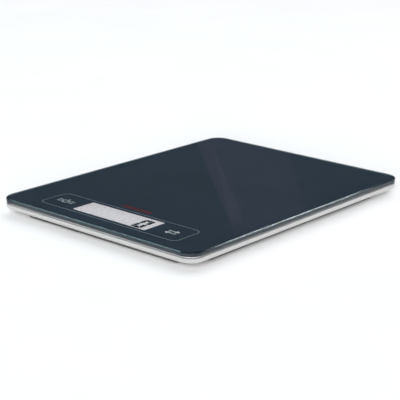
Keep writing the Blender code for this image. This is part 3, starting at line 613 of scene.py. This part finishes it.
# Ends of each segment about the digit's centre, in half sizes of the digit.
SEGMENTS = {
    "a": ((-1, 1), (1, 1)), "b": ((1, 1), (1, 0)), "c": ((1, 0), (1, -1)), "d": ((-1, -1), (1, -1)),
    "e": ((-1, 0), (-1, -1)), "f": ((-1, 1), (-1, 0)), "g": ((-1, 0), (1, 0)),
}

DIGIT_LOW = LCD_HIGH.z + 0.02 * MM
DIGIT_HIGH = LCD_HIGH.z + 0.05 * MM
UNLIT_DIGITS = 4
CELL_BEVEL = 0.2 * MM
CELL_EDGE_R = 0.05 * MM
CELL_CORNER_R = 0.5 * MM


def display():
    """Display cell: reflector face, which carries a painted glow, with a bevelled glass edge, and its
    segments.
    """
    profile = softened([(FACE_INSET, LCD_LOW.z), (0.0, LCD_LOW.z), (0.0, LCD_HIGH.z - CELL_BEVEL),
                        (CELL_BEVEL, LCD_HIGH.z), (FACE_INSET, LCD_HIGH.z)], CELL_EDGE_R)
    shown("display_cell", loft(rectangle(LCD_LOW, LCD_HIGH), CELL_CORNER_R, profile), MATERIALS["display"],
          "housing", ["lcd_panel"])
    digit("digit_units", LCD_CENTRE.x + DIGIT_X, "abcdef", "segment")
    for place in range(1, UNLIT_DIGITS + 1):
        digit(f"digit_off_{place}", LCD_CENTRE.x + DIGIT_X - place * DIGIT_PITCH, "abcdefg", "ghost")


def segment_outline(key):
    """Outline of one segment about the digit's centre, mitred where the digit turns a corner."""
    ends = [Vector((x * DIGIT_HALF.x, y * DIGIT_HALF.y)) for x, y in SEGMENTS[key]]
    along = (ends[1] - ends[0]).normalized()
    outward = along.orthogonal()
    if outward.dot(ends[0] + ends[1]) < 0:
        outward = -outward
    sides = []
    for end, inward, (_, level) in zip(ends, (along, -along), SEGMENTS[key]):
        shape_of_end = CORNER_END if level else BLUNT_END
        sides.append([end + (inward * step + outward * way_out) * SEGMENT_W / 2
                      for step, way_out in shape_of_end])
    return sides[0] + list(reversed(sides[1]))


def digit(name, centre_x, lit, material):
    """Seven-segment digit of flat bars just above the display's face."""
    shape = bmesh.new()
    centre = Vector((centre_x, DIGIT_Y))
    for key in lit:
        prism(shape, [centre + point for point in segment_outline(key)], DIGIT_LOW, DIGIT_HIGH)
    shown(name, shape, MATERIALS[material], "housing", soft_normals=False)


# ---------------------------------------------------------------- silver housing

TRAY_R = CORNER_R - 0.3 * MM
TRAY_UNDERSIDE = 7.0 * MM
TRAY_FLOOR_TOP = TRAY_UNDERSIDE + 0.9 * MM
RIM_TOP = TAPE_LOW.z - 0.2 * MM
TRAY_LOWER_R = 2.2 * MM
TRAY_UPPER_R = 0.6 * MM
CAVITY_INSET = 4.1 * MM
CAVITY_MOUTH = 0.4 * MM
BAY_CENTRE = centre_of("battery_cover").xy
BAY = Vector((52.0, 33.4)) * MM
BAY_WALL = 1.4 * MM
BAY_LOW = 3.9 * MM
BAY_HIGH = TRAY_FLOOR_TOP + 3.0 * MM
BAY_CORNER_R = 0.4 * MM
SMALL_EDGE_R = 0.2 * MM


def housing():
    """Tray of the housing: soft lower edge, upright side and the flat rim that carries the glass."""
    low, rim = TRAY_UNDERSIDE, RIM_TOP
    profile = [(TRAY_LOWER_R + FACE_INSET, low)]
    profile += arc((TRAY_LOWER_R, low + TRAY_LOWER_R), TRAY_LOWER_R, 270, 180, steps=10)
    profile += arc((TRAY_UPPER_R, rim - TRAY_UPPER_R), TRAY_UPPER_R, 180, 90, steps=6)
    profile += softened([(CAVITY_INSET - CAVITY_MOUTH, rim), (CAVITY_INSET, rim),
                         (CAVITY_INSET, TRAY_FLOOR_TOP), (CAVITY_INSET + FACE_INSET, TRAY_FLOOR_TOP)],
                        SMALL_EDGE_R)
    tray = loft(rectangle(TRAY_LOW, TRAY_HIGH), TRAY_R, profile)
    walls = loft(around(BAY_CENTRE, BAY + Vector((BAY_WALL, BAY_WALL)) * 2), BAY_CORNER_R,
                 [(0.0, BAY_LOW), (0.0, BAY_HIGH)])
    bay = loft(around(BAY_CENTRE, BAY), BAY_CORNER_R, [(0.0, 0.0), (0.0, GLASS_LOW.z)])
    shown("housing_shell", carved(tray, [("UNION", walls), ("DIFFERENCE", bay)]), MATERIALS["silver"],
          "housing", ["upper_housing"])


RING_W = 1.6 * MM
RING_R = CORNER_R - (TAPE_LOW.x - GLASS_LOW.x)


def bonding_ring():
    """Grey adhesive ring between the housing's rim and the glass."""
    ring = flat_ring(rectangle(TAPE_LOW, TAPE_HIGH), RING_R, RING_W, RIM_TOP, GLASS_LOW.z - PRINT_T)
    shown("bonding_ring", ring, MATERIALS["tape"], "housing", ["bonding_tape"])


# ---------------------------------------------------------------- base, battery cover

BASE_WALL = 1.6 * MM
BASE_EDGE_R = 1.2 * MM
MOUTH = 0.35 * MM        # how much a hole's edge is broken
FOOT_HOLE_R = 11.6 * MM
WELL_R = 3.4 * MM
WELL_TOP = 2.9 * MM
WELL_WALL = 1.4 * MM
WELL_ROOF = 1.2 * MM
PILOT_R = 1.6 * MM
PILOT_STEPS = 32
POCKET_TOP = 2.3 * MM
POCKET_CORNER_R = 1.5 * MM
POCKET_SIDE_GAP = 0.4 * MM
FINGER_RECESS = 8.0 * MM
PAD_TOP = 3.6 * MM
PAD_LOW = 2.0 * MM       # inside the base's floor
PAD_MARGIN = 2.6 * MM
TONGUE_STARTS = (-13.0 * MM, 5.0 * MM)
TONGUE = Vector((1.6, 6.0, 0.35)) * MM
TONGUE_LOW = 1.6 * MM
TONGUE_ROOT = 2.0 * MM
SLOT_LOW = 1.5 * MM
SLOT_OVERLAP = 0.2 * MM
SLOT_ROOT = 0.5 * MM
COVER_TRAVEL = 6.0 * MM
COVER_EDGE_R = 0.3 * MM
COVER_CORNER_R = 1.2 * MM
BAY_OPENING = BAY + Vector((1.0, 1.0)) * MM


def mouth_hole(shape, centre, radius, surface, top):
    """Round cutter upwards from a surface, a little wider at the surface to break its edge."""
    turned(shape, centre, [(0.0, surface - PAST), (radius + MOUTH + PAST, surface - PAST),
                           (radius, surface + MOUTH), (radius, top), (0.0, top)])


def mouth_pocket(corners, radius, surface, top):
    """Cutter of a rounded outline upwards from a surface, with its edge broken."""
    return loft(corners, radius, [(-MOUTH - PAST, surface - PAST), (0.0, surface + MOUTH), (0.0, top)])


def pocket_corners(spare=0.0):
    """Corners of the battery cover's pocket with its finger recess, and more room around by spare."""
    low = Vector((COVER_LOW.x + TONGUE.x, COVER_LOW.y))
    high = Vector((COVER_HIGH.x - TONGUE.x, COVER_HIGH.y + FINGER_RECESS))
    room = Vector((POCKET_SIDE_GAP, POCKET_SIDE_GAP)) + Vector((spare, spare))
    return rectangle(low - room, high + room)


def base_pads():
    """Thick places inside the base's floor, round the pocket and the screws."""
    shape = loft(pocket_corners(PAD_MARGIN), POCKET_CORNER_R, [(0.0, PAD_LOW), (0.0, PAD_TOP)])
    radius, top = WELL_R + WELL_WALL, WELL_TOP + WELL_ROOF
    for name in BASE_SCREWS:
        turned(shape, centre_of(name), [(0.0, PAD_LOW), (radius, PAD_LOW), (radius, top), (0.0, top)])
    return shape


def base_holes():
    """Holes for the feet, wells for the screws and the screws' own holes."""
    shape = bmesh.new()
    for corner in CORNERS:
        mouth_hole(shape, centre_of(f"foot_cup_{corner}"), FOOT_HOLE_R, BASE_LOW.z, BASE_HIGH.z)
    for name in BASE_SCREWS:
        mouth_hole(shape, centre_of(name), WELL_R, BASE_LOW.z, WELL_TOP)
    return shape


def screw_holes():
    """Clearance holes of the screws, from their wells upwards."""
    shape = bmesh.new()
    for name in BASE_SCREWS:
        turned(shape, centre_of(name), [(0.0, PAD_LOW), (PILOT_R, PAD_LOW), (PILOT_R, BASE_HIGH.z),
                                        (0.0, BASE_HIGH.z)], PILOT_STEPS)
    return shape


def tongue_slots(from_shift, to_shift, low, high):
    """Cutter for the room that the cover's tongues need, between two shifts along their way."""
    shape = bmesh.new()
    reach = COVER_HIGH.x + POCKET_SIDE_GAP
    inner = COVER_HIGH.x - TONGUE.x - SLOT_ROOT
    for side in (-1, 1):
        left, right = sorted((side * inner, side * reach))
        for start in TONGUE_STARTS:
            near = BAY_CENTRE.y + start - POCKET_SIDE_GAP + from_shift
            far = BAY_CENTRE.y + start + TONGUE.y + POCKET_SIDE_GAP + to_shift
            add_box(shape, (left, near, low), (right, far, high))
    return shape


def base():
    """Base shell with its openings, wells and the battery cover's pocket."""
    low, high = BASE_LOW.z, BASE_HIGH.z
    inside = low + BASE_WALL
    profile = [(BASE_EDGE_R + FACE_INSET, low)]
    profile += arc((BASE_EDGE_R, low + BASE_EDGE_R), BASE_EDGE_R, 270, 180, steps=8)
    profile += softened([(0.0, (low + high) / 2), (0.0, high), (BASE_WALL, high), (BASE_WALL, inside),
                         (BASE_WALL + FACE_INSET, inside)], SMALL_EDGE_R)
    shell = loft(cut_rectangle(BASE_LOW, BASE_HIGH, BASE_CUT), BASE_CUT_R, profile)
    opening = loft(around(BAY_CENTRE, BAY_OPENING), BAY_CORNER_R, [(0.0, 0.0), (0.0, high + PAST)])
    changes = [
        ("UNION", base_pads()),
        ("DIFFERENCE", base_holes()),
        ("DIFFERENCE", screw_holes()),
        ("DIFFERENCE", mouth_pocket(pocket_corners(), POCKET_CORNER_R, low, POCKET_TOP)),
        ("DIFFERENCE", opening),
        ("DIFFERENCE", tongue_slots(0.0, COVER_TRAVEL, SLOT_LOW, POCKET_TOP)),
        ("DIFFERENCE", tongue_slots(COVER_TRAVEL, COVER_TRAVEL, 0.0, SLOT_LOW + SLOT_OVERLAP)),
    ]
    shown("base_shell", carved(shell, changes), MATERIALS["grey"], "housing", ["base_cover"])


def cover():
    """Sliding battery cover: soft edges, a row of grip grooves and an arrow towards its open end."""
    plate_low = Vector((COVER_LOW.x + TONGUE.x, COVER_LOW.y))
    plate_high = Vector((COVER_HIGH.x - TONGUE.x, COVER_HIGH.y))
    low, high = COVER_LOW.z, COVER_HIGH.z
    edge = COVER_EDGE_R
    profile = [(edge + FACE_INSET, low)]
    profile += arc((edge, low + edge), edge, 270, 180, steps=4)
    profile += arc((edge, high - edge), edge, 180, 90, steps=4)
    profile += [(edge + FACE_INSET, high)]
    plate = loft(rectangle(plate_low, plate_high), COVER_CORNER_R, profile)
    tongues = bmesh.new()
    for side in (-1, 1):
        left, right = sorted((side * (COVER_HIGH.x - TONGUE.x - TONGUE_ROOT), side * COVER_HIGH.x))
        for start in TONGUE_STARTS:
            add_box(tongues, (left, BAY_CENTRE.y + start, TONGUE_LOW),
                    (right, BAY_CENTRE.y + start + TONGUE.y, TONGUE_LOW + TONGUE.z))
    shown("battery_door", carved(plate, [("UNION", tongues), ("DIFFERENCE", grip_cuts(low))]),
          MATERIALS["grey"], "sliding_cover", ["battery_cover"])


GRIP_COUNT = 6
GRIP_PITCH = 2.0 * MM
GRIP = Vector((22.0, 1.0)) * MM
GRIP_END_R = 0.48 * MM
GRIP_DEPTH = 0.35 * MM
GRIP_MARGIN = 4.0 * MM
COVER_ARROW = Vector((4.0, 6.0)) * MM    # half its width, and its length


def grip_cuts(surface):
    """Cutter for the cover's grip grooves and its arrow."""
    shape = bmesh.new()
    middle = Vector((BAY_CENTRE.x, COVER_HIGH.y - GRIP_MARGIN))
    low, high = surface - PAST, surface + GRIP_DEPTH
    for _ in range(GRIP_COUNT):
        prism(shape, rounded(around(middle, GRIP), GRIP_END_R, steps=6), low, high)
        middle.y -= GRIP_PITCH
    tip = middle - Vector((0.0, GRIP_PITCH))
    arrow = [tip - COVER_ARROW, tip + Vector((COVER_ARROW.x, -COVER_ARROW.y)), tip]
    prism(shape, arrow, low, high)
    return shape


# ---------------------------------------------------------------- feet and screws

CUP_R = 10.8 * MM
CUP_LOW = 0.7 * MM
CUP_HIGH = 2.6 * MM
CUP_EDGE_R = 0.3 * MM
SEAT_R = 9.6 * MM        # the recess of the cup that holds the pad
SEAT_TOP = 1.8 * MM
PUSHER_R = 3.0 * MM
PUSHER_HIGH = 3.45 * MM
RUBBER_R = 9.3 * MM
RUBBER_T = 1.5 * MM
RUBBER_EDGE_R = 0.5 * MM
GROOVE_IN_R = 5.7 * MM
GROOVE_OUT_R = 6.5 * MM
GROOVE_DEPTH = 0.3 * MM


def foot(corner):
    """Foot of one corner: grey cup and its rubber pad with a ring groove."""
    centre = centre_of(f"foot_cup_{corner}")
    body = f"foot_{corner}"
    cup = bmesh.new()
    turned(cup, centre, softened([
        (0.0, SEAT_TOP), (SEAT_R, SEAT_TOP), (SEAT_R, CUP_LOW), (CUP_R, CUP_LOW), (CUP_R, CUP_HIGH),
        (PUSHER_R, CUP_HIGH), (PUSHER_R, PUSHER_HIGH), (0.0, PUSHER_HIGH)], CUP_EDGE_R))
    shown(f"cup_{corner}", cup, MATERIALS["grey"], body, [f"foot_cup_{corner}"], sharp=50)
    pad = bmesh.new()
    turned(pad, centre, softened([
        (0.0, 0.0), (GROOVE_IN_R, 0.0), (GROOVE_IN_R, GROOVE_DEPTH), (GROOVE_OUT_R, GROOVE_DEPTH),
        (GROOVE_OUT_R, 0.0), (RUBBER_R, 0.0), (RUBBER_R, RUBBER_T), (0.0, RUBBER_T)], RUBBER_EDGE_R))
    shown(f"pad_{corner}", pad, MATERIALS["rubber"], body, [f"foot_pad_{corner}"], sharp=50)


SCREW_LOW = 1.4 * MM
SCREW_DOME = 0.9 * MM
SCREW_HEAD_R = 2.8 * MM
SCREW_HEAD_TOP = 2.7 * MM
SCREW_SHAFT_R = 1.3 * MM
SCREW_TIP = 6.8 * MM
SCREW_TAPER = 0.7 * MM
SCREW_STEPS = 48
DOME_TURNS = range(0, 91, 15)    # degrees from the middle of the dome to its rim
CROSS = Vector((3.0, 0.64)) * MM
CROSS_DEPTH = 1.1 * MM


def base_screw(name):
    """Screw of the base with a domed head and a cross recess."""
    centre = centre_of(name)
    profile = [(SCREW_HEAD_R * sin(radians(turn)), SCREW_LOW + SCREW_DOME * (1 - cos(radians(turn))))
               for turn in DOME_TURNS]
    profile += [(SCREW_HEAD_R, SCREW_HEAD_TOP), (SCREW_SHAFT_R, SCREW_HEAD_TOP),
                (SCREW_SHAFT_R, SCREW_TIP - SCREW_TAPER), (SCREW_SHAFT_R - SCREW_TAPER, SCREW_TIP),
                (0.0, SCREW_TIP)]
    screw = bmesh.new()
    turned(screw, centre, profile, SCREW_STEPS)
    changes = []
    for size in (CROSS, CROSS.yx):
        low, high = centre.xy - size / 2, centre.xy + size / 2
        arm = bmesh.new()
        add_box(arm, (low.x, low.y, 0.0), (high.x, high.y, SCREW_LOW + CROSS_DEPTH))
        changes.append(("DIFFERENCE", arm))
    shown(name.replace("base_screw", "case_screw"), carved(screw, changes), MATERIALS["screw"], "housing",
          [name])


# ---------------------------------------------------------------- pieces kept from the CAD

KEPT = {
    "steel": ["board_screw_", "load_cell_"],
    "nickel": ["battery_spring_", "contact_"],
    "sleeve": ["battery_1", "battery_2", "battery_3"],
    "red": ["battery_wire_red"],
    "black": ["battery_wire_black"],
    "pale": ["cell_wire_"],
    "board": ["main_board"],
    "chip": ["controller_chip"],
    "gauge": ["strain_gauge_"],
    "white": ["lcd_holder"],
    "rubber": ["zebra_strip", "touch_pad_"],
}


def kept_materials():
    """Gives the CAD pieces that keep their shape their materials."""
    for key, starts in KEPT.items():
        for name, node in frame["nodes"].items():
            if name.startswith(tuple(starts)):
                for slot in node.material_slots:
                    slot.material = MATERIALS[key]


# ---------------------------------------------------------------- floor, lights and camera

CAMERA_AT = Vector((0.71740, -0.83255, 0.34384))
CAMERA_TURN = radians(41.063)
CAMERA_DOWN = radians(17.201)
CAMERA_ROLL = radians(0.438)
CAMERA_LENS = 111.523    # millimetres, as Blender takes it
CAMERA_NEAREST = 0.01
FLOOR_HALF = 9.0
FLOOR_LEVEL = -0.05 * MM
SURROUNDINGS = (0.060, 0.072, 0.090)


def floor():
    """Plain pale floor."""
    shape = bmesh.new()
    bmesh.ops.create_grid(shape, x_segments=1, y_segments=1, size=FLOOR_HALF)
    mesh = bpy.data.meshes.new("floor")
    shape.to_mesh(mesh)
    shape.free()
    material, node = shader("floor_paper", (0.9, 0.9, 0.9), 0.9, Specular_IOR_Level=0.1)
    vary_colour(material, node, noise(material, 8.0), (0.885, 0.885, 0.885), (0.905, 0.905, 0.905))
    mesh.materials.append(material)
    thing = linked("floor", mesh)
    thing.location.z = FLOOR_LEVEL


def world():
    """Dim slate surroundings, which the glass reflects."""
    scenery = bpy.data.worlds.new("surroundings")
    scenery.use_nodes = True
    background = scenery.node_tree.nodes["Background"]
    background.inputs["Color"].default_value = (*SURROUNDINGS, 1.0)
    background.inputs["Strength"].default_value = 1.0
    bpy.context.scene.world = scenery


def aimed(thing):
    """Turns a light towards the object."""
    thing.rotation_euler = (-thing.location).to_track_quat("-Z", "Y").to_euler()


def soft_sun(name, azimuth, elevation, spread, energy, through_glass):
    """Distant soft light from a direction, which no surface mirrors.

    The azimuth runs from -Y towards +X, in degrees like the elevation."""
    light = bpy.data.lights.new(name, "SUN")
    light.energy = energy
    light.angle = radians(spread)
    thing = linked(name, light)
    level = cos(radians(elevation))
    thing.location = (sin(radians(azimuth)) * level, -cos(radians(azimuth)) * level,
                      sin(radians(elevation)))
    thing.visible_glossy = False
    thing.visible_transmission = through_glass
    aimed(thing)


def softbox(name, place, size, radiance, colour):
    """Square light panel, aimed at the object."""
    light = bpy.data.lights.new(name, "AREA")
    light.shape = "SQUARE"
    light.size = size
    light.energy = radiance * pi * size ** 2
    light.color = colour
    thing = linked(name, light)
    thing.location = place
    aimed(thing)


def dim_strip(name, start, end, width, radiance, colour):
    """Faint light strip from start to end, facing the object, which the glass reflects as a soft streak."""
    start, end = Vector(start), Vector(end)
    length = (end - start).length
    light = bpy.data.lights.new(name, "AREA")
    light.shape = "RECTANGLE"
    light.size, light.size_y = length, width
    light.energy = radiance * pi * length * width
    light.color = colour
    thing = linked(name, light)
    along = (end - start).normalized()
    across = ((start + end) / 2).cross(along).normalized()
    turn = Matrix((along, across, along.cross(across))).transposed().to_4x4()
    thing.matrix_world = Matrix.Translation((start + end) / 2) @ turn


def lights():
    """A low sun from the front, one from overhead, and what the glass reflects."""
    soft_sun("front_low", azimuth=36.0, elevation=19.0, spread=38.0, energy=5.7, through_glass=False)
    soft_sun("overhead", azimuth=205.0, elevation=70.0, spread=64.0, energy=1.4, through_glass=True)
    softbox("window_right", place=(0.623, 1.214, 0.94), size=0.26, radiance=9.5, colour=(0.80, 0.93, 1.0))
    softbox("window_left", place=(-1.06, -0.66, 1.085), size=0.36, radiance=4.3, colour=(0.62, 0.93, 1.0))
    dim_strip("streak_wide", start=(-1.04, 1.33, 0.36), end=(-0.77, 1.10, 0.50), width=0.16, radiance=0.03,
              colour=(0.9, 0.6, 1.0))
    dim_strip("streak_edge", start=(-1.08, 1.23, 0.38), end=(-0.81, 1.04, 0.49), width=0.03, radiance=0.05,
              colour=(0.8, 0.6, 1.0))


def camera():
    """Camera at the front right, a little above the object."""
    data = bpy.data.cameras.new("camera")
    data.lens = CAMERA_LENS
    data.clip_start = CAMERA_NEAREST
    thing = linked("camera", data)
    turn = (Matrix.Rotation(CAMERA_TURN, 4, "Z") @ Matrix.Rotation(pi / 2 - CAMERA_DOWN, 4, "X")
            @ Matrix.Rotation(CAMERA_ROLL, 4, "Z"))
    thing.matrix_world = Matrix.Translation(CAMERA_AT) @ turn
    bpy.context.scene.camera = thing


# ---------------------------------------------------------------- the whole scene

glass()
back_print()
panel_outline()
power_symbol()
units_symbol()
accent_bar()
display()
housing()
bonding_ring()
base()
cover()
for corner_name in CORNERS:
    foot(corner_name)
for screw_name in BASE_SCREWS:
    base_screw(screw_name)
kept_materials()
floor()
world()
lights()
camera()
bpy.context.scene.view_settings.view_transform = "Standard"
